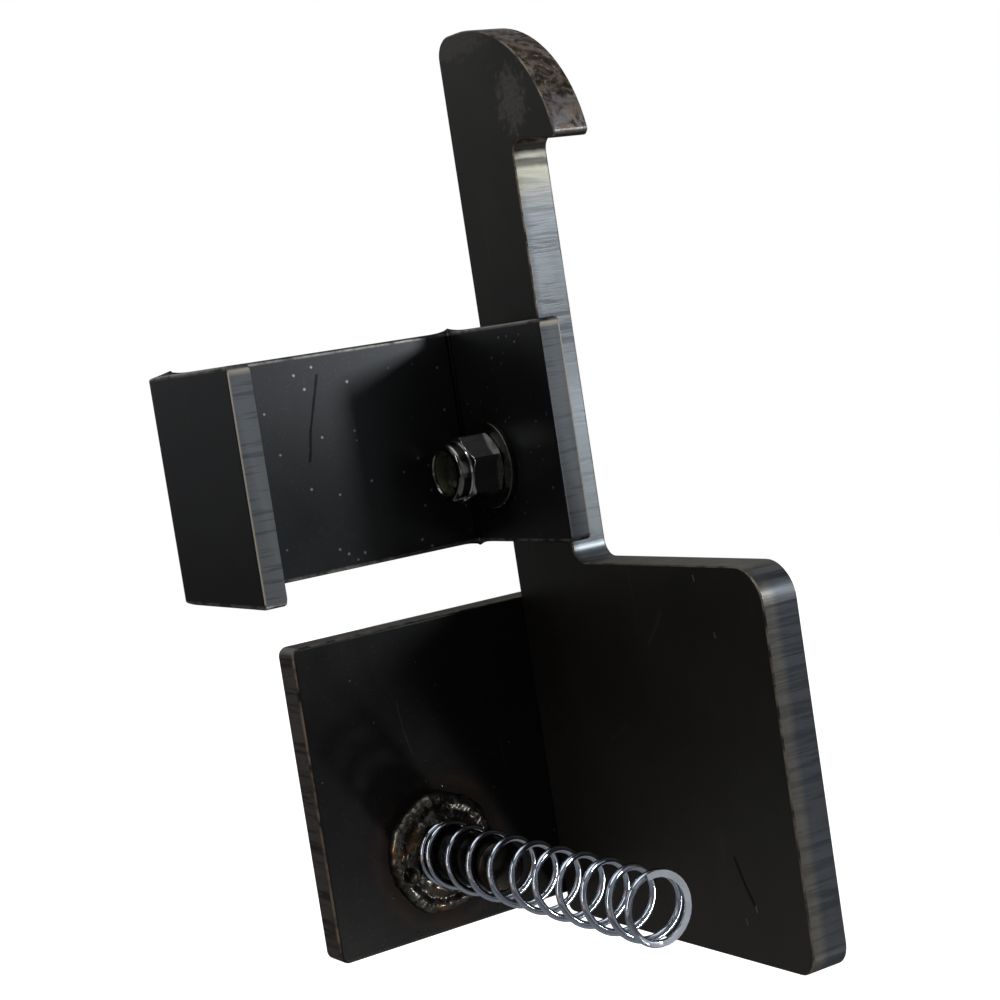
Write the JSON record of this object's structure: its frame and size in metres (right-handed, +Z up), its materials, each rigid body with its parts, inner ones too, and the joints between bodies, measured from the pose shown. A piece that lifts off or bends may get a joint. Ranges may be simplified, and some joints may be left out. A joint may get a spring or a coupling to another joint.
{
  "type": "stair gate latch",
  "caption": "Hook lever on a pivot bolt, with a welded push plate and return spring, carried by a U bracket that is fastened to a gate stile.",
  "frame": {"origin": "centre of the end face of the bracket's inner flange, the flange beside the lever, which goes against the gate stile", "axes": "+Z up along the lever's bar, +Y out of the flange ends towards the gate stile, which is also where the hook's nose and the spring point, +X along the pivot bolt from the lever across the bracket"},
  "size_m": [0.1009, 0.1014, 0.2145],
  "materials": {
    "hot_rolled_plate": "semi-gloss oiled mill scale",
    "hot_rolled_push_plate": "semi-gloss oiled mill scale",
    "hot_rolled_strip": "semi-gloss oiled mill scale",
    "weld_metal": "rough, as welded",
    "zinc_plate": "zinc plated",
    "washer_plate": "dull plated",
    "spacer_steel": "turned steel",
    "bright_zinc": "bright zinc",
    "nylon": "dark nylon",
    "dark_rod": "dark rod end",
    "spring_wire": "bright zinc wire"
  },
  "bodies": {
    "bracket": {"mount_bracket": "hot_rolled_strip", "pivot_bolt": "zinc_plate", "pivot_spacer": "spacer_steel", "nut_washer": "washer_plate", "lock_nut": "bright_zinc", "nut_insert": "nylon"},
    "lever": {"hook_lever": "hot_rolled_plate", "push_plate": "hot_rolled_push_plate", "seam_weld_upper": "weld_metal", "seam_weld_lower": "weld_metal", "spring_stub": "dark_rod", "stub_weld": "weld_metal", "return_spring": "spring_wire"}
  },
  "joints": [
    {"name": "lever_pivot", "type": "hinge", "parent": "bracket", "child": "lever", "pos_m": [0, -0.02869, -0.0068], "axis": [1, 0, 0], "range_deg": [0, 14], "stiffness_Nm_per_rad": 12, "springref_deg": -5.16}
  ]
}
